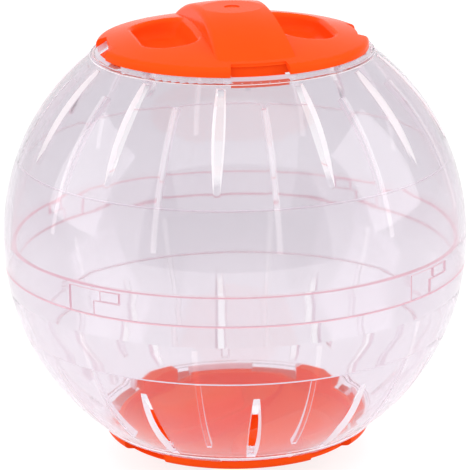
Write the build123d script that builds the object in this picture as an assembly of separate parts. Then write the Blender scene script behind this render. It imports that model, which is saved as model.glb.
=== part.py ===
from build123d import *
import os
from math import cos, radians, sin, sqrt, tan

# A clear hamster ball in two halves, with an orange lid at each pole.
# The origin is the centre of the ball, +Z is up and the front looks along -Y.

# Half balls
BALL_RADIUS = 72.5
WALL = 1.8
BAND_HEIGHT = 1.4
STEP_LEVEL = 26.0
STEP_DEPTH = 0.5
OPENING_RADIUS = 38.6
OPENING_ROUND = 0.5

# Joint of the halves: a skirt on the upper half, outside a neck on the lower one
SKIRT_WALL = 2.0
SKIRT_DROP = 6.7
SKIRT_RISE = 2.4
NECK_WALL = 1.6
NECK_RISE = 1.4
NECK_ROOT_LEVEL = 7.2
NECK_BLEND_LEVEL = 13.8
FIT_GAP = 0.3

# Bayonet between the halves
BAYONET_COUNT = 4
BAYONET_LUG_REACH = 0.9
BAYONET_LUG_LOW = 2.2
BAYONET_LUG_HIGH = 0.6
BAYONET_LUG_ANGLE = 5.2
BAYONET_LUG_AZIMUTH = -31.4
BAYONET_ENTRY_ANGLE = 7.6
BAYONET_TURN = 8.1
BAYONET_GAP_ANGLE = 0.5

# Vent slots and ribs, one pattern in each half
VENT_COUNT = 12
SLOT_LATITUDE = 39.9
SLOT_DEPTH = 2.45
SLOT_MOUTH_WIDTH = 4.0
SLOT_FLOOR_WIDTH = 1.9
SLOT_POLE_REACH = 15.0
SLOT_EQUATOR_REACH = 24.0
RIB_WIDTH = 1.5
RIB_LOW_LATITUDE = 11.0
RIB_HIGH_LATITUDE = 46.5
RIB_HEIGHT = 1.3
UPPER_VENT_AZIMUTH = -4.5
LOWER_VENT_AZIMUTH = 5.0

# Lid: domed skin, skirt ring, lugs and windows
LID_RISE = 5.2
LID_LAP = 3.4
LID_WALL = 1.5
LID_EDGE = 2.6
LID_EDGE_ROUND = 1.8
LID_GAP = 0.4
LID_SKIRT_WALL = 1.5
LUG_COUNT = 4
LUG_REACH = 2.7
LUG_THICKNESS = 1.6
LUG_ANGLE = 24.6
WINDOW_LEDGE = 0.4
TOP_LID_AZIMUTH = 11.5
BOTTOM_LID_AZIMUTH = 45.0

# Lid: arched grip bar between two finger recesses, with a flat crest to stand on
BAR_RISE = 10.4
BAR_REACH = 37.0
BAR_WIDTH = 22.6
BAR_DRAFT = 10.0
BAR_ROUND = 2.0
FLAT_DROP = 0.54
GATE_RADIUS = 2.4
GATE_DEPTH = 0.3
RECESS_GAP = 1.4
RECESS_LENGTH = 38.4
RECESS_WIDTH = 17.9
RECESS_DEPTH = 7.8
RECESS_DRAFT = 16.0
RECESS_OUTER_ROUND = 10.0
RECESS_INNER_ROUND = 7.0
RECESS_FLOOR_ROUND = 3.2
RECESS_LIP_ROUND = 1.6

# Rim of each opening: notches that let the lugs in, and stops that end the lock turn
NOTCH_GAP = 0.5
NOTCH_ANGLE = 31.0
LOCK_TURN = 37.0
STOP_ANGLE = 2.0
STOP_GAP_ANGLE = 0.6
STOP_HEIGHT = 2.0

# Bead round each opening, just outside the lid's edge
BEAD_GAP = 0.4
BEAD_ROUND = 0.8
BEAD_HEIGHT = 0.5

# Shared by all cuts, and by pieces that are fused
OVERRUN = 2.0
OVERLAP = 0.6
TOUCH = 0.01

# Angle of the front direction in the XY plane
FRONT = -90.0

BALL_CENTRE = BAND_HEIGHT / 2
INNER_RADIUS = BALL_RADIUS - WALL
THICK_RADIUS = INNER_RADIUS - STEP_DEPTH
SKIRT_BORE = BALL_RADIUS - SKIRT_WALL
NECK_RADIUS = SKIRT_BORE - FIT_GAP
LID_SEAT_RADIUS = BALL_RADIUS + FIT_GAP
LID_RADIUS = OPENING_RADIUS + LID_LAP
LID_SKIRT_RADIUS = OPENING_RADIUS - LID_GAP
LUG_RADIUS = LID_SKIRT_RADIUS + LUG_REACH
NOTCH_RADIUS = LUG_RADIUS + NOTCH_GAP


def level(radius, reach):
    """Height of the upper half ball of this radius at this distance from the axis."""
    return BALL_CENTRE + sqrt(radius**2 - reach**2)


def reach_at(radius, height):
    """Distance from the axis of the upper half ball of this radius at this height."""
    return sqrt(radius**2 - (height - BALL_CENTRE) ** 2)


def arc(radius, centre, start, end):
    """Arc about a point on the axis, from one (reach, height) point to another."""
    middle = Vector((start[0] + end[0]) / 2, (start[1] + end[1]) / 2 - centre).normalized() * radius
    return ThreePointArc(start, (middle.X, middle.Y + centre), end)


def turned(outline):
    """Solid of revolution about Z from the lines and arcs of a half section."""
    return revolve(Plane.XZ * make_face(outline), axis=Axis.Z)


def sector(inner, outer, low, high, azimuth, angle):
    """Block of a ring between two radii and two heights, centred on an azimuth from the front."""
    section = Pos((inner + outer) / 2, (low + high) / 2) * Rectangle(outer - inner, high - low)
    block = revolve(Plane.XZ * section, axis=Axis.Z, revolution_arc=angle)
    return Rot(0, 0, FRONT + azimuth - angle / 2) * block


def around(solid, count):
    """Copies of a solid at equal steps about Z."""
    return [Rot(0, 0, 360 * k / count) * solid for k in range(count)]


def half_shell(inside, outside):
    """Half ball from the open ends of its inner and outer lines, with a rounded opening."""
    edge_out = outside[-1] @ 1
    edge_in = inside[-1] @ 1
    lip = Line(edge_out, edge_in)
    foot = Line(outside[0] @ 0, inside[0] @ 0)
    shell = turned(outside + [lip] + inside + [foot])
    opening = shell.edges().filter_by(GeomType.CIRCLE)
    rims = [e for e in opening if abs(e.radius - OPENING_RADIUS) < TOUCH]
    return fillet(rims, OPENING_ROUND)


def inner_cap(start):
    """Inner lines of a half ball, from the thicker wall near the joint up to the opening."""
    step_in = (reach_at(THICK_RADIUS, STEP_LEVEL), STEP_LEVEL)
    step_out = (reach_at(INNER_RADIUS, STEP_LEVEL), STEP_LEVEL)
    end = (OPENING_RADIUS, level(INNER_RADIUS, OPENING_RADIUS))
    thick = arc(THICK_RADIUS, BALL_CENTRE, start, step_in)
    return [thick, Line(step_in, step_out), arc(INNER_RADIUS, BALL_CENTRE, step_out, end)]


def outer_cap(start):
    """Outer arc of a half ball, up to the opening."""
    end = (OPENING_RADIUS, level(BALL_RADIUS, OPENING_RADIUS))
    return arc(BALL_RADIUS, BALL_CENTRE, start, end)


def vent_slot():
    """Straight bar with sloping sides, sunk into the ball along a meridian."""
    half_floor = SLOT_FLOOR_WIDTH / 2
    half_mouth = SLOT_MOUTH_WIDTH / 2
    slope = (half_mouth - half_floor) / SLOT_DEPTH
    half_top = half_mouth + slope * OVERRUN
    floor = BALL_RADIUS - SLOT_DEPTH
    top = BALL_RADIUS + OVERRUN
    corners = [(-half_floor, floor), (half_floor, floor), (half_top, top), (-half_top, top)]
    profile = Polygon(*corners, align=None)
    # The bar runs along -Y of its own plane's normal, with the pole end behind it.
    bar = extrude(Plane.XZ * profile, amount=SLOT_POLE_REACH + SLOT_EQUATOR_REACH, dir=(0, -1, 0))
    bar = Pos(0, SLOT_POLE_REACH, 0) * bar
    return Pos(0, 0, BALL_CENTRE) * Rot(90 - SLOT_LATITUDE, 0, 0) * bar


def rib():
    """Thin rib on the inner face along a meridian, running out towards the joint."""
    rise = sin(radians(RIB_HIGH_LATITUDE)) - sin(radians(RIB_LOW_LATITUDE))
    drop = RIB_HEIGHT / rise
    edge_radius = INNER_RADIUS + drop * sin(radians(RIB_LOW_LATITUDE))
    blank = Circle(INNER_RADIUS + WALL / 2) - Pos(0, -drop) * Circle(edge_radius)
    far = BALL_RADIUS + OVERRUN
    low = (far * cos(radians(RIB_LOW_LATITUDE)), far * sin(radians(RIB_LOW_LATITUDE)))
    high = (far * cos(radians(RIB_HIGH_LATITUDE)), far * sin(radians(RIB_HIGH_LATITUDE)))
    corner = (far, far * sin(radians(RIB_HIGH_LATITUDE)))
    section = blank & Polygon((0, 0), low, corner, high, align=None)
    fin = extrude(Plane.XZ * section, amount=RIB_WIDTH / 2, both=True)
    return Rot(0, 0, FRONT) * Pos(0, 0, BALL_CENTRE) * fin


def rim_notches(azimuth):
    """Notches in an opening's edge, where the lugs of the lid pass."""
    low = level(INNER_RADIUS, NOTCH_RADIUS) - OVERRUN
    high = level(BALL_RADIUS, OPENING_RADIUS) + OVERRUN
    inner = OPENING_RADIUS - OVERRUN
    return around(sector(inner, NOTCH_RADIUS, low, high, azimuth, NOTCH_ANGLE), LUG_COUNT)


def rim_stops(azimuth):
    """Small blocks under the rim, where the lugs of the locked lid come to rest."""
    high = level(INNER_RADIUS, OPENING_RADIUS + OVERLAP) + OVERLAP
    low = level(INNER_RADIUS, LUG_RADIUS) - STOP_HEIGHT
    turn = LOCK_TURN + LUG_ANGLE / 2 + STOP_GAP_ANGLE + STOP_ANGLE / 2
    block = sector(OPENING_RADIUS + OVERLAP, LUG_RADIUS, low, high, azimuth - turn, STOP_ANGLE)
    return around(block, LUG_COUNT)


def bead():
    """Low round bead on the ball, just outside the lid's edge."""
    reach = LID_RADIUS + BEAD_GAP + BEAD_ROUND
    return Pos(0, 0, level(BALL_RADIUS + BEAD_HEIGHT - BEAD_ROUND, reach)) * Torus(reach, BEAD_ROUND)


def upper_shell():
    """Upper half: cap, skirt over the neck, vents, ribs, rim notches and bayonet grooves."""
    band_low = (BALL_RADIUS, -BALL_CENTRE)
    band_high = (BALL_RADIUS, BALL_CENTRE)
    foot_out = (reach_at(BALL_RADIUS, SKIRT_DROP), -SKIRT_DROP)
    foot_in = (SKIRT_BORE, -SKIRT_DROP)
    bore_top = (SKIRT_BORE, SKIRT_RISE)
    cap_start = (reach_at(THICK_RADIUS, SKIRT_RISE), SKIRT_RISE)
    skirt = arc(BALL_RADIUS, -BALL_CENTRE, foot_out, band_low)
    outside = [skirt, Line(band_low, band_high), outer_cap(band_high)]
    inside = [Line(foot_in, bore_top), Line(bore_top, cap_start)] + inner_cap(cap_start)
    shell = half_shell(inside, outside)
    shell += around(Rot(0, 0, UPPER_VENT_AZIMUTH + 180 / VENT_COUNT) * rib(), VENT_COUNT)
    shell += rim_stops(TOP_LID_AZIMUTH)
    shell -= rim_notches(TOP_LID_AZIMUTH)
    shell -= around(Rot(0, 0, UPPER_VENT_AZIMUTH) * vent_slot(), VENT_COUNT)
    shell += bead()
    return shell - bayonet_grooves()


def bayonet_grooves():
    """L-shaped grooves inside the skirt: an entry from below, then a run to the locked place."""
    inner = SKIRT_BORE - OVERRUN
    outer = NECK_RADIUS + BAYONET_LUG_REACH + FIT_GAP
    high = BAYONET_LUG_HIGH + FIT_GAP
    low = -BAYONET_LUG_LOW - FIT_GAP
    entry_azimuth = BAYONET_LUG_AZIMUTH - BAYONET_TURN
    run_start = entry_azimuth - BAYONET_ENTRY_ANGLE / 2
    run_end = BAYONET_LUG_AZIMUTH + BAYONET_LUG_ANGLE / 2 + BAYONET_GAP_ANGLE
    entry = sector(inner, outer, -SKIRT_DROP - OVERRUN, high, entry_azimuth, BAYONET_ENTRY_ANGLE)
    run = sector(inner, outer, low, high, (run_start + run_end) / 2, run_end - run_start)
    return around(entry + run, BAYONET_COUNT)


def lower_shell():
    """Lower half: cap and neck, with lugs, vents, ribs and rim notches, built upside down."""
    seat = SKIRT_DROP + FIT_GAP
    neck_bore = NECK_RADIUS - NECK_WALL
    seat_out = (reach_at(BALL_RADIUS, seat), seat)
    seat_in = (NECK_RADIUS, seat)
    neck_end = (NECK_RADIUS, -NECK_RISE)
    bore_end = (neck_bore, -NECK_RISE)
    bore_root = (neck_bore, NECK_ROOT_LEVEL)
    blend = (reach_at(THICK_RADIUS, NECK_BLEND_LEVEL), NECK_BLEND_LEVEL)
    outside = [Line(neck_end, seat_in), Line(seat_in, seat_out), outer_cap(seat_out)]
    inside = [Line(bore_end, bore_root), Line(bore_root, blend)] + inner_cap(blend)
    shell = half_shell(inside, outside)
    notch_azimuth = BOTTOM_LID_AZIMUTH + LOCK_TURN
    shell += around(Rot(0, 0, 180 - LOWER_VENT_AZIMUTH + 180 / VENT_COUNT) * rib(), VENT_COUNT)
    shell += rim_stops(notch_azimuth)
    shell -= rim_notches(notch_azimuth)
    shell -= around(Rot(0, 0, 180 - LOWER_VENT_AZIMUTH) * vent_slot(), VENT_COUNT)
    shell += bead()
    shell = Rot(180, 0, 0) * shell
    lug_out = NECK_RADIUS + BAYONET_LUG_REACH
    lug = sector(NECK_RADIUS - OVERLAP, lug_out, -BAYONET_LUG_LOW, BAYONET_LUG_HIGH,
                 BAYONET_LUG_AZIMUTH, BAYONET_LUG_ANGLE)
    return shell + around(lug, BAYONET_COUNT)


def recess(top, wall):
    """Drafted pocket for two fingers on the +X side of the bar, grown by a wall where asked."""
    middle = (BAR_WIDTH + RECESS_WIDTH) / 2 + RECESS_GAP
    plan = Rectangle(RECESS_WIDTH, RECESS_LENGTH)
    corners = plan.vertices().sort_by(Axis.X)
    plan = fillet(corners[2:], RECESS_OUTER_ROUND)
    corners = plan.vertices().group_by(Axis.X)[0]
    plan = fillet(corners, RECESS_INNER_ROUND)
    if wall:
        plan = offset(plan, amount=wall)
    mouth = Pos(middle, 0, top) * plan
    pocket = extrude(mouth, amount=RECESS_DEPTH + wall, dir=(0, 0, -1), taper=RECESS_DRAFT)
    floor = pocket.faces().sort_by(Axis.Z)[0]
    return fillet(floor.edges(), RECESS_FLOOR_ROUND + wall)


def dome_radius(rise, reach):
    """Radius of a round dome with this rise over this reach."""
    return (reach**2 + rise**2) / (2 * rise)


def lid():
    """Lid in the upper opening, with its bar along Y: skin, skirt, lugs, recesses, bar and windows."""
    edge_low = level(LID_SEAT_RADIUS, LID_RADIUS)
    edge_high = edge_low + LID_EDGE
    top = edge_high + LID_RISE
    dome = dome_radius(LID_RISE, LID_RADIUS)
    centre = top - dome
    skin = dome - LID_WALL
    bore = LID_SKIRT_RADIUS - LID_SKIRT_WALL
    skirt_low = level(INNER_RADIUS, OPENING_RADIUS)
    lug_low = level(INNER_RADIUS - FIT_GAP, LUG_RADIUS) - LUG_THICKNESS

    axis_top = (0, top)
    axis_under = (0, top - LID_WALL)
    rim_high = (LID_RADIUS, edge_high)
    rim_low = (LID_RADIUS, edge_low)
    seat_end = (LID_SKIRT_RADIUS, level(LID_SEAT_RADIUS, LID_SKIRT_RADIUS))
    skirt_out = (LID_SKIRT_RADIUS, lug_low)
    skirt_in = (bore, lug_low)
    skirt_top = (bore, centre + sqrt(skin**2 - bore**2))
    dome_line = arc(dome, centre, axis_top, rim_high)
    edge_lines = [Line(rim_high, rim_low), arc(LID_SEAT_RADIUS, BALL_CENTRE, rim_low, seat_end)]
    skirt_lines = [Line(seat_end, skirt_out), Line(skirt_out, skirt_in), Line(skirt_in, skirt_top)]
    closing = [arc(skin, centre, skirt_top, axis_under), Line(axis_under, axis_top)]
    section = make_face([dome_line] + edge_lines + skirt_lines + closing)
    corner = section.vertices().group_by(Axis.X)[-1].sort_by(Axis.Y)[-1]
    body = revolve(Plane.XZ * fillet(corner, LID_EDGE_ROUND), axis=Axis.Z)
    body -= windows(edge_low, top)
    body -= skirt_gaps(lug_low, skirt_low)

    floor = top - RECESS_DEPTH - LID_WALL - OVERRUN
    floor_out = (LID_RADIUS, floor)
    floor_in = (0, floor)
    sides = [Line(rim_high, floor_out), Line(floor_out, floor_in), Line(floor_in, axis_top)]
    block = turned([dome_line] + sides)
    wells = recess(top, LID_WALL)
    body += block & wells
    body += block & mirror(wells, about=Plane.YZ)
    pocket = recess(top, 0)
    body -= pocket
    body -= mirror(pocket, about=Plane.YZ)
    body = rounded_lips(body, dome, centre)
    body += bar(edge_high)
    body -= bar_arch(edge_high, LID_WALL)
    return body + lugs(lug_low)


def rounded_lips(body, dome, centre):
    """Rounds the lips of the finger recesses."""
    lips = []
    for edge in body.edges():
        spot = edge @ 0.5
        reach = sqrt(spot.X**2 + spot.Y**2)
        on_dome = abs(sqrt(reach**2 + (spot.Z - centre) ** 2) - dome) < TOUCH
        if on_dome and reach < LID_SKIRT_RADIUS - LID_SKIRT_WALL:
            lips.append(edge)
    return fillet(lips, RECESS_LIP_ROUND)


def bar_arch(edge, wall):
    """Arched block along Y with sloping sides, shrunk by a wall where asked."""
    apex = edge + BAR_RISE
    low_dome = dome_radius(LID_RISE, LID_RADIUS)
    end = LID_RISE - low_dome + sqrt(low_dome**2 - BAR_REACH**2)
    arch = dome_radius(BAR_RISE - end, BAR_REACH)
    slope = tan(radians(BAR_DRAFT))
    half_low = BAR_WIDTH / 2 - wall + LID_RISE * slope
    half_high = BAR_WIDTH / 2 - wall - (BAR_RISE + OVERRUN - LID_RISE) * slope
    high = apex + OVERRUN
    corners = [(-half_low, edge), (half_low, edge), (half_high, high), (-half_high, high)]
    prism = extrude(Plane.XZ * Polygon(*corners, align=None), amount=LID_RADIUS, both=True)
    return prism & Pos(0, 0, apex - arch) * Sphere(arch - wall)


def bar(edge):
    """Grip bar on the dome, with rounded shoulders, a flat crest and the gate mark in it."""
    low_dome = dome_radius(LID_RISE, LID_RADIUS)
    flat = edge + BAR_RISE - FLAT_DROP
    block = bar_arch(edge, 0)
    shoulders = [e for e in block.edges() if abs((e @ 0.5).Y) < TOUCH and (e @ 0.5).Z > edge + LID_RISE]
    block = fillet(shoulders, BAR_ROUND)
    block -= Pos(0, 0, edge + LID_RISE - low_dome) * Sphere(low_dome - LID_WALL / 2)
    block -= Pos(0, 0, flat + OVERRUN / 2) * Box(BAR_WIDTH, LID_RADIUS, OVERRUN)
    return block - Pos(0, 0, flat) * Cylinder(GATE_RADIUS, 2 * GATE_DEPTH)


def lugs(low):
    """Lugs round the skirt that hook under the ball's rim."""
    under = INNER_RADIUS - FIT_GAP
    root = LID_SKIRT_RADIUS - OVERLAP
    tip_high = (LUG_RADIUS, level(under, LUG_RADIUS))
    root_high = (root, level(under, root))
    lines = [Line((root, low), (LUG_RADIUS, low)), Line((LUG_RADIUS, low), tip_high)]
    lines += [arc(under, BALL_CENTRE, tip_high, root_high), Line(root_high, (root, low))]
    lug = revolve(Plane.XZ * make_face(lines), axis=Axis.Z, revolution_arc=LUG_ANGLE)
    return around(Rot(0, 0, FRONT - LUG_ANGLE / 2) * lug, LUG_COUNT)


def skirt_gaps(low, high):
    """Gaps in the foot of the skirt, which leave a tab over each lug."""
    spacing = 360 / LUG_COUNT
    inner = LID_SKIRT_RADIUS - LID_SKIRT_WALL - OVERRUN
    outer = LID_SKIRT_RADIUS + OVERRUN
    gap = sector(inner, outer, low - OVERRUN, high, spacing / 2, spacing - LUG_ANGLE)
    return around(gap, LUG_COUNT)


def windows(low, high):
    """Openings in the lid's edge above the lugs, back to the skirt."""
    inner = LID_SKIRT_RADIUS + WINDOW_LEDGE
    cut = sector(inner, LID_RADIUS + OVERRUN, low - OVERRUN, high, 0, LUG_ANGLE)
    return around(cut, LUG_COUNT)


def main():
    os.makedirs("parts", exist_ok=True)
    one_lid = lid()
    nodes = {
        "upper_shell": upper_shell(),
        "lower_shell": lower_shell(),
        "top_lid": Rot(0, 0, TOP_LID_AZIMUTH) * one_lid,
        "bottom_lid": Rot(180, 0, 0) * Rot(0, 0, BOTTOM_LID_AZIMUTH) * one_lid,
    }
    for name, solid in nodes.items():
        solid.label = name
        export_step(solid, f"parts/{name}.step")
        print(name, round(solid.volume), solid.bounding_box().size)


main()
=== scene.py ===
# %% [markdown]
# # A clear hamster ball with orange lids
#
# This lesson dresses a ball for a small pet. Two clear half balls twist together at the
# middle, and an orange lid closes each pole. The solids already have their shape and size,
# so the work here is in the finishes, the light and the camera. The frame is loaded first,
# because every piece takes its place from it.

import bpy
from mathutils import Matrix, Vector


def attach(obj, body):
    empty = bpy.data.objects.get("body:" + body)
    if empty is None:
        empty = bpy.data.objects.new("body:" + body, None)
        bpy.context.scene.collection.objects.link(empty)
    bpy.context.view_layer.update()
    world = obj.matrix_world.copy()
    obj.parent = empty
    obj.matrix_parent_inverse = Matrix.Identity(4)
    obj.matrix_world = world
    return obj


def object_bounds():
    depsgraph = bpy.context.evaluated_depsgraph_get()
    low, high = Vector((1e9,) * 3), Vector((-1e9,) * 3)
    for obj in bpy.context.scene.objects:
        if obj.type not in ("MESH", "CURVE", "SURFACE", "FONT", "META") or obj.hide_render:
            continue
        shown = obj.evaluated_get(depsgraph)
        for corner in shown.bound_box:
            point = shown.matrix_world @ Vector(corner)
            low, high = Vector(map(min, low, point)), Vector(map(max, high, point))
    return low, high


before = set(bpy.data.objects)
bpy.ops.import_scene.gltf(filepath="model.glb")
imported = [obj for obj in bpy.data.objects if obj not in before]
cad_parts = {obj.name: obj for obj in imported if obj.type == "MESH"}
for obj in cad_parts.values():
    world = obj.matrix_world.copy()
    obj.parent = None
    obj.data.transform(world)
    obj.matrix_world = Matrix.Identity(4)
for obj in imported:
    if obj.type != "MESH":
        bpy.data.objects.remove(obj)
cad_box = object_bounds()
print("nodes:", sorted(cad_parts))
print("box of the solids:", [round(v, 4) for corner in cad_box for v in corner])

# %% [markdown]
# ## Modules and main measures
#
# The other modules come in here. The ball's radius and the level of the floor are read from the
# box of the solids, so the camera, the floor and the tints follow the solids.

# %% Modules and main measures
from math import cos, radians, sin, tau

import bmesh
import bpy
from mathutils import Matrix, Vector

low, high = cad_box
BALL_RADIUS = (high.x - low.x) / 2
FLOOR_LEVEL = low.z
print("ball radius", round(BALL_RADIUS, 4), "floor level", round(FLOOR_LEVEL, 4))

# %% [markdown]
# ## The camera
#
# A product picture like this is taken from some way off with a long lens, a little above the
# middle of the ball, so that the top lid shows as a flat oval. The lens is worked out from the
# size that the ball has in the picture: its radius covers a known number of pixels at that
# distance. A small turn about the line of sight keeps the joint line at its slight slope.

# %% Camera
PICTURE_PIXELS = 470
RADIUS_PIXELS = 230.8
CENTRE_PIXEL = (235.0, 233.6)
CAMERA_DISTANCE = 11.8 * BALL_RADIUS
CAMERA_ELEVATION = radians(16.7)
CAMERA_ROLL = radians(0.79)
FARTHEST_VIEW = 100

camera_data = bpy.data.cameras.new("camera")
camera = bpy.data.objects.new("camera", camera_data)
bpy.context.collection.objects.link(camera)
sight = Vector((0, -cos(CAMERA_ELEVATION), sin(CAMERA_ELEVATION)))
turn = sight.to_track_quat("Z", "Y").to_matrix().to_4x4()
roll = Matrix.Rotation(-CAMERA_ROLL, 4, "Z")
camera.matrix_world = Matrix.Translation(sight * CAMERA_DISTANCE) @ turn @ roll
focal_pixels = RADIUS_PIXELS * CAMERA_DISTANCE / BALL_RADIUS
camera_data.lens = focal_pixels / PICTURE_PIXELS * camera_data.sensor_width
camera_data.shift_x = (PICTURE_PIXELS / 2 - CENTRE_PIXEL[0]) / PICTURE_PIXELS
camera_data.shift_y = (CENTRE_PIXEL[1] - PICTURE_PIXELS / 2) / PICTURE_PIXELS
camera_data.clip_end = FARTHEST_VIEW
bpy.context.scene.camera = camera
print("lens", round(camera_data.lens, 1), "mm at", round(CAMERA_DISTANCE, 3), "m")

# %% [markdown]
# ## Helpers for materials
#
# Every finish is a node tree. These helpers make a new material, add a node with its settings
# and join two sockets, so that each finish below reads as a short list of steps.


# %% Material helpers
def new_material(name):
    """An empty material with its node tree and output."""
    material = bpy.data.materials.new(name)
    material.use_nodes = True
    tree = material.node_tree
    tree.nodes.clear()
    output = tree.nodes.new("ShaderNodeOutputMaterial")
    return material, tree, output


def add(tree, kind, **settings):
    """A node of this kind, with its properties or its input values set by name."""
    node = tree.nodes.new(kind)
    for key, value in settings.items():
        if key in node.inputs:
            node.inputs[key].default_value = value
        else:
            setattr(node, key, value)
    return node


def join(tree, source, output, target, entry):
    """A link from one node's output to another node's input."""
    tree.links.new(source.outputs[output], target.inputs[entry])


# %% [markdown]
# ## Helpers for sums in a node tree
#
# Some finishes change from place to place, and that takes sums on sockets. Each helper adds one
# node and hands back the socket that holds its result, so a longer sum reads from left to right.
# The mix node has sockets for numbers and for colours under the same names, so those for colours
# are picked by their place in its list.

# %% Sums in a node tree
MIX_SHARE = 0
MIX_COLOURS = (6, 7)
MIX_RESULT = 2


def figure(tree, operation, *values):
    """The result of a sum on sockets and plain numbers."""
    node = add(tree, "ShaderNodeMath", operation=operation)
    for entry, value in zip(node.inputs, values):
        if isinstance(value, bpy.types.NodeSocket):
            tree.links.new(value, entry)
        else:
            entry.default_value = value
    return node.outputs["Value"]


def vector_figure(tree, operation, result, *vectors):
    """The result of a sum on vector sockets."""
    node = add(tree, "ShaderNodeVectorMath", operation=operation)
    for entry, vector in zip(node.inputs, vectors):
        tree.links.new(vector, entry)
    return node.outputs[result]


def ranged(tree, value, first, last, span=(0.0, 1.0)):
    """The value over its span, moved to the range from first to last."""
    node = add(tree, "ShaderNodeMapRange")
    node.inputs["From Min"].default_value, node.inputs["From Max"].default_value = span
    node.inputs["To Min"].default_value = first
    node.inputs["To Max"].default_value = last
    tree.links.new(value, node.inputs["Value"])
    return node.outputs["Result"]


def blended(tree, share, first, second):
    """A colour between two, each a plain colour or a socket, by a share."""
    node = add(tree, "ShaderNodeMix", data_type="RGBA")
    tree.links.new(share, node.inputs[MIX_SHARE])
    for entry, colour in zip(MIX_COLOURS, (first, second)):
        if isinstance(colour, tuple):
            node.inputs[entry].default_value = colour
        else:
            tree.links.new(colour, node.inputs[entry])
    return node.outputs[MIX_RESULT]


# %% [markdown]
# ## Narrow faces of the clear wall
#
# In the picture the walls of the vent slots, the sides of the ribs and the rims look whitish,
# and the edges at the joint look pink. The shader paints them so, partly as the frost of moulded
# faces and partly as a painted highlight where their edges catch the light. These faces stand
# across the wall, so a face counts as narrow when its normal turns away from the line to the
# ball's centre. They could be picked by hand, but a mask from the normals leaves the mesh alone
# and follows the solids.

# %% Narrow faces
NARROW_RANGE = (0.9, 0.55)


def narrow_faces(tree, place):
    """1 on faces that stand across the wall, 0 on its outer and inner skin."""
    outward = vector_figure(tree, "NORMALIZE", "Vector", place.outputs["Object"])
    across = vector_figure(tree, "DOT_PRODUCT", "Value", outward, place.outputs["Normal"])
    return ranged(tree, figure(tree, "ABSOLUTE", across), 0.0, 1.0, NARROW_RANGE)


print("narrow as the normal's outward share falls from", NARROW_RANGE[0], "to", NARROW_RANGE[1])

# %% [markdown]
# ## Painted highlights along the ribs
#
# Each half has twelve ribs inside, at equal steps round the axis, and over a rib the wall looks
# paler in the picture. The shader paints that paleness on the outer skin as a painted highlight
# along each rib. The angle round the axis, folded back and forth at half a step, tells how
# far a point lies from the nearest rib. One sum draws all the lines that way, and none is placed
# by hand. They stop short of the joint and of the lids, as the ribs do.

# %% Painted highlights along the ribs
RIB_SPACING = radians(30)
UPPER_RIB = radians(10.5)
LOWER_RIB = radians(20)
RIB_TOP = 0.73 * BALL_RADIUS
RIB_RANGE = (0.0011, 0.0006)
JOINT_RANGE = (0.2 * BALL_RADIUS, 0.3 * BALL_RADIUS)


def rib_highlights(tree, x, y, z):
    """1 along the ribs, which stand at equal steps in each half and get a painted highlight, 0
    elsewhere.
    """
    upper = figure(tree, "GREATER_THAN", z, 0)
    start = figure(tree, "MULTIPLY_ADD", upper, UPPER_RIB - LOWER_RIB, LOWER_RIB)
    angle = figure(tree, "SUBTRACT", figure(tree, "ARCTAN2", y, x), start)
    aside = figure(tree, "PINGPONG", angle, RIB_SPACING / 2)
    reach = figure(tree, "SQRT", figure(tree, "MULTIPLY_ADD", x, x, figure(tree, "MULTIPLY", y, y)))
    line = ranged(tree, figure(tree, "MULTIPLY", aside, reach), 0.0, 1.0, RIB_RANGE)
    height = figure(tree, "ABSOLUTE", z)
    under = figure(tree, "LESS_THAN", height, RIB_TOP)
    over = figure(tree, "GREATER_THAN", height, JOINT_RANGE[0])
    return figure(tree, "MULTIPLY", line, figure(tree, "MULTIPLY", under, over))


print(round(tau / RIB_SPACING), "rib lines in each half")

# %% [markdown]
# ## Colour of the clear wall
#
# The half balls look clear with a grey, faintly pink cast on the outer skin, and the grey
# darkens towards the top, which is painted shade. The cast is fitted to the picture. It lies on
# the outer skin alone, so the doubled wall at the joint looks no darker than the rest, and a slow
# noise makes it a little cloudy. Over the ribs it fades to a paler painted highlight. The narrow
# faces are pink near the joint and white everywhere else, partly frost and partly a painted
# highlight.

# %% Colour of the clear wall
WHITE = (1, 1, 1, 1)
# The lower and upper tints are a lit and a shaded copy of one grey: the darkening towards the top
# is painted shade.
LOWER_LIT_TINT = (0.80, 0.755, 0.82, 1)
UPPER_SHADED_TINT = (0.54, 0.51, 0.57, 1)
# A paler tint over the ribs, which is a painted highlight.
RIB_HIGHLIGHT = (0.86, 0.83, 0.87, 1)
TINT_SHADE_RANGE = (-0.6 * BALL_RADIUS, 0.4 * BALL_RADIUS)
CLOUD_SHARE = 0.25
OUTER_SKIN = (0.988 * BALL_RADIUS, 0.996 * BALL_RADIUS)
# Colours of the narrow faces, pink near the joint and white elsewhere: partly frost and partly a
# painted highlight.
JOINT_PINK_AND_HIGHLIGHT = (1.0, 0.62, 0.67, 1)
SLOT_FROST_AND_HIGHLIGHT = (1.0, 0.98, 0.99, 1)


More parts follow.
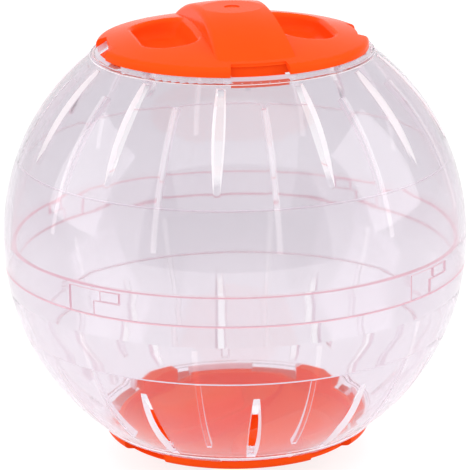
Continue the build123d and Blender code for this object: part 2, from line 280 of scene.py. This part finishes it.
def shell_colour(tree, place, edge, cloud):
    """Grey outer skin with painted shade towards the top and a painted highlight over the ribs;
    clear inside; whitish narrow faces, partly frost and partly painted highlight.
    """
    axes = add(tree, "ShaderNodeSeparateXYZ")
    tree.links.new(place.outputs["Object"], axes.inputs["Vector"])
    x, y, z = axes.outputs
    # Painted shade: the grey darkens from the lower tint to the upper one.
    grey = blended(tree, ranged(tree, z, 0.0, 1.0, TINT_SHADE_RANGE), LOWER_LIT_TINT, UPPER_SHADED_TINT)
    cloudy = blended(tree, ranged(tree, cloud, 0.0, CLOUD_SHARE), grey, WHITE)
    # Painted highlight along the ribs.
    rib_highlighted = blended(tree, rib_highlights(tree, x, y, z), cloudy, RIB_HIGHLIGHT)
    reach = vector_figure(tree, "LENGTH", "Value", place.outputs["Object"])
    skin = blended(tree, ranged(tree, reach, 0.0, 1.0, OUTER_SKIN), WHITE, rib_highlighted)
    joint = ranged(tree, figure(tree, "ABSOLUTE", z), 0.0, 1.0, JOINT_RANGE)
    # The narrow faces are painted pink and white, partly frost and partly a painted highlight.
    return blended(tree, edge, skin, blended(tree, joint, JOINT_PINK_AND_HIGHLIGHT, SLOT_FROST_AND_HIGHLIGHT))


print("tint from", LOWER_LIT_TINT[:3], "to", UPPER_SHADED_TINT[:3])

# %% [markdown]
# ## Clear plastic
#
# Half balls like these are moulded in a clear plastic such as polystyrene. A Principled shader
# with nearly full transmission bends the light as the real wall does, and a thin absorbing volume
# turns long paths through the plastic pink. A slow noise makes the gloss and the surface a little
# uneven, as melt that has flowed into a mould is. A plain glass shader would keep the lamps out
# of the ball. So lamp light and soft light pass straight through the wall, and they reach the
# inside as they do through thin clear plastic.

# %% Clear plastic
CLEAR_INDEX = 1.49
SKIN_TRANSMISSION = 0.98
# The narrow faces let little light through, so their painted white highlight shows.
NARROW_TRANSMISSION = 0.12
CLEAR_ROUGHNESS = (0.02, 0.07)
DEPTH_PINK = (0.97, 0.76, 0.88, 1)
PASSING_LIGHT = (0.93, 0.91, 0.94, 1)


def clear_plastic():
    """The finish of both half balls."""
    material, tree, output = new_material("clear_plastic_finish")
    shader = add(tree, "ShaderNodeBsdfPrincipled", IOR=CLEAR_INDEX)
    place = add(tree, "ShaderNodeTexCoord")
    noise = add(tree, "ShaderNodeTexNoise", Scale=22.0, Detail=2.0, Roughness=0.5)
    join(tree, place, "Object", noise, "Vector")
    cloud = noise.outputs["Fac"]
    edge = narrow_faces(tree, place)
    see_through = ranged(tree, edge, SKIN_TRANSMISSION, NARROW_TRANSMISSION)
    tree.links.new(shell_colour(tree, place, edge, cloud), shader.inputs["Base Color"])
    tree.links.new(see_through, shader.inputs["Transmission Weight"])
    tree.links.new(ranged(tree, cloud, *CLEAR_ROUGHNESS), shader.inputs["Roughness"])
    flow = add(tree, "ShaderNodeBump", Strength=0.05, Distance=0.001)
    join(tree, noise, "Fac", flow, "Height")
    join(tree, flow, "Normal", shader, "Normal")
    depth = add(tree, "ShaderNodeVolumeAbsorption", Color=DEPTH_PINK, Density=30.0)
    clear_way = add(tree, "ShaderNodeBsdfTransparent", Color=PASSING_LIGHT)
    path = add(tree, "ShaderNodeLightPath").outputs
    soft_light = figure(tree, "MAXIMUM", path["Is Shadow Ray"], path["Is Diffuse Ray"])
    pick = add(tree, "ShaderNodeMixShader")
    tree.links.new(soft_light, pick.inputs["Fac"])
    join(tree, shader, "BSDF", pick, 1)
    join(tree, clear_way, "BSDF", pick, 2)
    join(tree, pick, "Shader", output, "Surface")
    join(tree, depth, "Volume", output, "Volume")
    return material


clear = clear_plastic()
print(clear.name, len(clear.node_tree.nodes), "nodes")

# %% [markdown]
# ## Orange plastic
#
# The lids are moulded in a strong orange with a soft shine. The colour drifts slightly, as it
# does where a melt has mixed, and a fine bump breaks the reflections as a moulded surface does.
# Plastic bends light more than the index of refraction given here. The low one keeps the
# reflections of the white room from washing the orange out.

# %% Orange plastic
ORANGE_INDEX = 1.07
DEEP_ORANGE = (0.95, 0.075, 0.006, 1)
LIGHT_ORANGE = (1.0, 0.095, 0.01, 1)
ORANGE_ROUGHNESS = (0.14, 0.24)


def orange_plastic():
    """The finish of both lids."""
    material, tree, output = new_material("orange_plastic_finish")
    shader = add(tree, "ShaderNodeBsdfPrincipled", IOR=ORANGE_INDEX)
    place = add(tree, "ShaderNodeTexCoord")
    swirl = add(tree, "ShaderNodeTexNoise", Scale=35.0, Detail=4.0, Roughness=0.55)
    join(tree, place, "Object", swirl, "Vector")
    colour = add(tree, "ShaderNodeValToRGB")
    colour.color_ramp.elements[0].color = DEEP_ORANGE
    colour.color_ramp.elements[1].color = LIGHT_ORANGE
    join(tree, swirl, "Fac", colour, "Fac")
    join(tree, colour, "Color", shader, "Base Color")
    shine = ranged(tree, swirl.outputs["Fac"], *ORANGE_ROUGHNESS)
    tree.links.new(shine, shader.inputs["Roughness"])
    grain = add(tree, "ShaderNodeTexNoise", Scale=900.0, Detail=2.0)
    join(tree, place, "Object", grain, "Vector")
    bump = add(tree, "ShaderNodeBump", Strength=0.03, Distance=0.0003)
    join(tree, grain, "Fac", bump, "Height")
    join(tree, bump, "Normal", shader, "Normal")
    join(tree, shader, "BSDF", output, "Surface")
    return material


orange = orange_plastic()
print(orange.name, len(orange.node_tree.nodes), "nodes")

# %% [markdown]
# ## A finish for each piece
#
# The two half balls are clear and the two lids are orange. Each solid already has its material
# slots, so the finish goes into those and the meshes stay as they are.

# %% Give each piece its finish
finishes = {"upper_shell": clear, "lower_shell": clear, "top_lid": orange, "bottom_lid": orange}
for name, finish in finishes.items():
    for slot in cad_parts[name].material_slots:
        slot.material = finish
    print(name, "wears", finish.name)

# %% [markdown]
# ## Painted highlight of the step lines
#
# Inside each half the wall grows thicker towards the joint, and in the picture a thin white line
# follows that step round the ball. It may be a fine ridge where one part of the mould meets the
# next. Clear plastic would be lost against the wall, so the ridge is painted white with a trace of
# pink and lets no light through, a painted highlight for the light that the step catches.

# %% Ridge paint, a painted highlight
# White with a trace of pink: a painted highlight along the step.
RIDGE_HIGHLIGHT_PINK = (1.0, 0.93, 0.96, 1)
RIDGE_ROUGHNESS = (0.25, 0.45)


def ridge_highlight_plastic():
    """The white finish of the step lines, a painted highlight."""
    material, tree, output = new_material("ridge_highlight_finish")
    shader = add(tree, "ShaderNodeBsdfPrincipled", IOR=CLEAR_INDEX)
    place = add(tree, "ShaderNodeTexCoord")
    grain = add(tree, "ShaderNodeTexNoise", Scale=120.0, Detail=2.0)
    join(tree, place, "Object", grain, "Vector")
    share = grain.outputs["Fac"]
    tree.links.new(blended(tree, share, RIDGE_HIGHLIGHT_PINK, WHITE), shader.inputs["Base Color"])
    tree.links.new(ranged(tree, share, *RIDGE_ROUGHNESS), shader.inputs["Roughness"])
    join(tree, shader, "BSDF", output, "Surface")
    return material


ridge = ridge_highlight_plastic()
print(ridge.name, len(ridge.node_tree.nodes), "nodes")

# %% [markdown]
# ## Step lines
#
# The line could be painted by the shader of the wall, but a real ring stays crisp from every
# side. A small circle is stood upright, moved out to the corner of the step and spun once round
# the axis of the ball. Each ring rides on the half ball that carries it.

# %% Step lines
STEP_LEVEL = 0.0263
STEP_REACH = 0.06556
RING_RADIUS = 0.00024
RING_SIDES = 8
RING_STEPS = 192
QUARTER_TURN = tau / 4
AXIS = (0, 0, 1)
MIDDLE = (0, 0, 0)


def step_line(name, height, body):
    """A fine ring inside the ball at this height, which moves with the body."""
    form = bmesh.new()
    bmesh.ops.create_circle(form, segments=RING_SIDES, radius=RING_RADIUS)
    upright = Matrix.Rotation(QUARTER_TURN, 3, "X")
    bmesh.ops.rotate(form, verts=form.verts, cent=MIDDLE, matrix=upright)
    bmesh.ops.translate(form, verts=form.verts, vec=(STEP_REACH, 0, height))
    outline = form.verts[:] + form.edges[:]
    bmesh.ops.spin(
        form, geom=outline, angle=tau, steps=RING_STEPS, axis=AXIS, cent=MIDDLE, use_merge=True
    )
    bmesh.ops.recalc_face_normals(form, faces=form.faces)
    for face in form.faces:
        face.smooth = True
    mesh = bpy.data.meshes.new(name)
    form.to_mesh(mesh)
    form.free()
    ring = bpy.data.objects.new(name, mesh)
    bpy.context.collection.objects.link(ring)
    mesh.materials.append(ridge)
    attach(ring, body)
    print(name, len(mesh.polygons), "faces, rides on", body)


step_line("upper_step_line", STEP_LEVEL, "upper_half")
step_line("lower_step_line", -STEP_LEVEL, "lower_half")

# %% [markdown]
# ## Floor and background
#
# The picture has a plain white ground. A bright lamp would whiten a floor too, but it would wash
# out the ball. So the floor shows white to the camera, to reflections and through the clear
# walls, while a share of plain diffuse light on it keeps a soft shadow under the ball. Its glow
# leaves room for that share, so the lit floor comes out white. For all other light it is an
# ordinary pale surface.

# %% Floor
FLOOR_SIZE = 6.0
FLOOR_PALE = (0.85, 0.85, 0.85, 1)
SHADOW_SHARE = 0.3
SHADOW_GREY = (SHADOW_SHARE, SHADOW_SHARE, SHADOW_SHARE, 1)
FLOOR_LIGHT = 0.6


def seen_ray(tree):
    """1 for camera, glossy and transmission rays, 0 for the rest."""
    path = add(tree, "ShaderNodeLightPath").outputs
    direct = figure(tree, "MAXIMUM", path["Is Camera Ray"], path["Is Glossy Ray"])
    return figure(tree, "MAXIMUM", direct, path["Is Transmission Ray"])


def floor_paint():
    """White where it is seen, apart from the shadow, and pale for all other light."""
    material, tree, output = new_material("floor_paint")
    pale = add(tree, "ShaderNodeBsdfDiffuse", Color=FLOOR_PALE)
    shade = add(tree, "ShaderNodeBsdfDiffuse", Color=SHADOW_GREY)
    glow = add(tree, "ShaderNodeEmission", Color=WHITE, Strength=1 - SHADOW_SHARE * FLOOR_LIGHT)
    white = add(tree, "ShaderNodeAddShader")
    join(tree, shade, "BSDF", white, 0)
    join(tree, glow, "Emission", white, 1)
    pick = add(tree, "ShaderNodeMixShader")
    tree.links.new(seen_ray(tree), pick.inputs["Fac"])
    join(tree, pale, "BSDF", pick, 1)
    join(tree, white, "Shader", pick, 2)
    join(tree, pick, "Shader", output, "Surface")
    return material


bpy.ops.mesh.primitive_plane_add(size=FLOOR_SIZE, location=(0, 0, FLOOR_LEVEL))
floor = bpy.context.active_object
floor.name = "floor"
floor.data.materials.append(floor_paint())
print("floor", FLOOR_SIZE, "m wide")

# %% [markdown]
# ## Wall behind the camera
#
# A studio is often dim on the side where the camera stands. A dark grey wall there shows in the
# reflections of the clear front, which greys the middle of the ball and leaves its outline pale.
# Its size and its grey are fitted. The camera never sees the wall itself, and the wall
# takes no soft light or lamp light from the ball.

# %% Wall behind the camera
WALL_DISTANCE = 1.5
WALL_SIZE = (3.2, 1.8)
WALL_GREY = (0.12, 0.12, 0.13, 1)


def wall_paint():
    """A plain dark grey."""
    material, tree, output = new_material("wall_paint")
    dark = add(tree, "ShaderNodeBsdfDiffuse", Color=WALL_GREY)
    join(tree, dark, "BSDF", output, "Surface")
    return material


bpy.ops.mesh.primitive_plane_add(size=1.0)
wall = bpy.context.active_object
wall.name = "studio_wall"
wall.scale = (WALL_SIZE[0], WALL_SIZE[1], 1.0)
wall.rotation_euler = (QUARTER_TURN, 0, 0)
wall.location = (0, -WALL_DISTANCE, FLOOR_LEVEL + WALL_SIZE[1] / 2)
wall.data.materials.append(wall_paint())
wall.visible_camera = False
wall.visible_diffuse = False
wall.visible_shadow = False
print("wall", WALL_SIZE, "m at", WALL_DISTANCE, "m")

# %% [markdown]
# ## The world
#
# The room round the ball is white. The world gives soft light from every side, a little under
# full strength, and it shows as pure white to the camera, in reflections and through the walls.

# %% World
AMBIENT_STRENGTH = 0.85
BACKDROP_STRENGTH = 1.0

scene = bpy.context.scene
scene.view_settings.view_transform = "Standard"
world = bpy.data.worlds.new("studio")
scene.world = world
world.use_nodes = True
sky = world.node_tree
sky.nodes.clear()
sky_out = add(sky, "ShaderNodeOutputWorld")
ambient = add(sky, "ShaderNodeBackground", Color=WHITE, Strength=AMBIENT_STRENGTH)
backdrop = add(sky, "ShaderNodeBackground", Color=WHITE, Strength=BACKDROP_STRENGTH)
choose = add(sky, "ShaderNodeMixShader")
sky.links.new(seen_ray(sky), choose.inputs["Fac"])
join(sky, ambient, "Background", choose, 1)
join(sky, backdrop, "Background", choose, 2)
join(sky, choose, "Shader", sky_out, "Surface")
print("world", AMBIENT_STRENGTH, "as light,", BACKDROP_STRENGTH, "where it is seen")

# %% [markdown]
# ## Studio lamps
#
# Two large soft boxes stand at the left and the right, and a wide one hangs high in front. Their
# shapes show as pale panels on the clear walls, which is how the eye reads the round form. A ray
# through the ball meets one clear face after another, so more bounces are allowed than Blender
# gives at first.

# %% Lamps
LEFT_PLACE = (-0.8, -0.05, 0.35)
RIGHT_PLACE = (0.8, -0.05, 0.35)
FRONT_PLACE = (0, -0.65, 0.9)
SIDE_SIZE = (0.55, 0.6)
FRONT_SIZE = (1.2, 1.2)
SIDE_POWER = 1.7
FRONT_POWER = 3.5
CLEAR_BOUNCES = 32
GLOSSY_BOUNCES = 16


def soft_box(name, place, size, power):
    """A rectangular lamp that looks at the middle of the ball."""
    lamp = bpy.data.lights.new(name, "AREA")
    lamp.shape = "RECTANGLE"
    lamp.size, lamp.size_y = size
    lamp.energy = power
    lamp_object = bpy.data.objects.new(name, lamp)
    bpy.context.collection.objects.link(lamp_object)
    lamp_object.location = place
    lamp_object.rotation_euler = (-Vector(place)).to_track_quat("-Z", "Y").to_euler()
    print(name, power, "W")


soft_box("left_box", LEFT_PLACE, SIDE_SIZE, SIDE_POWER)
soft_box("right_box", RIGHT_PLACE, SIDE_SIZE, SIDE_POWER)
soft_box("front_box", FRONT_PLACE, FRONT_SIZE, FRONT_POWER)
scene.cycles.max_bounces = CLEAR_BOUNCES
scene.cycles.transmission_bounces = CLEAR_BOUNCES
scene.cycles.glossy_bounces = GLOSSY_BOUNCES
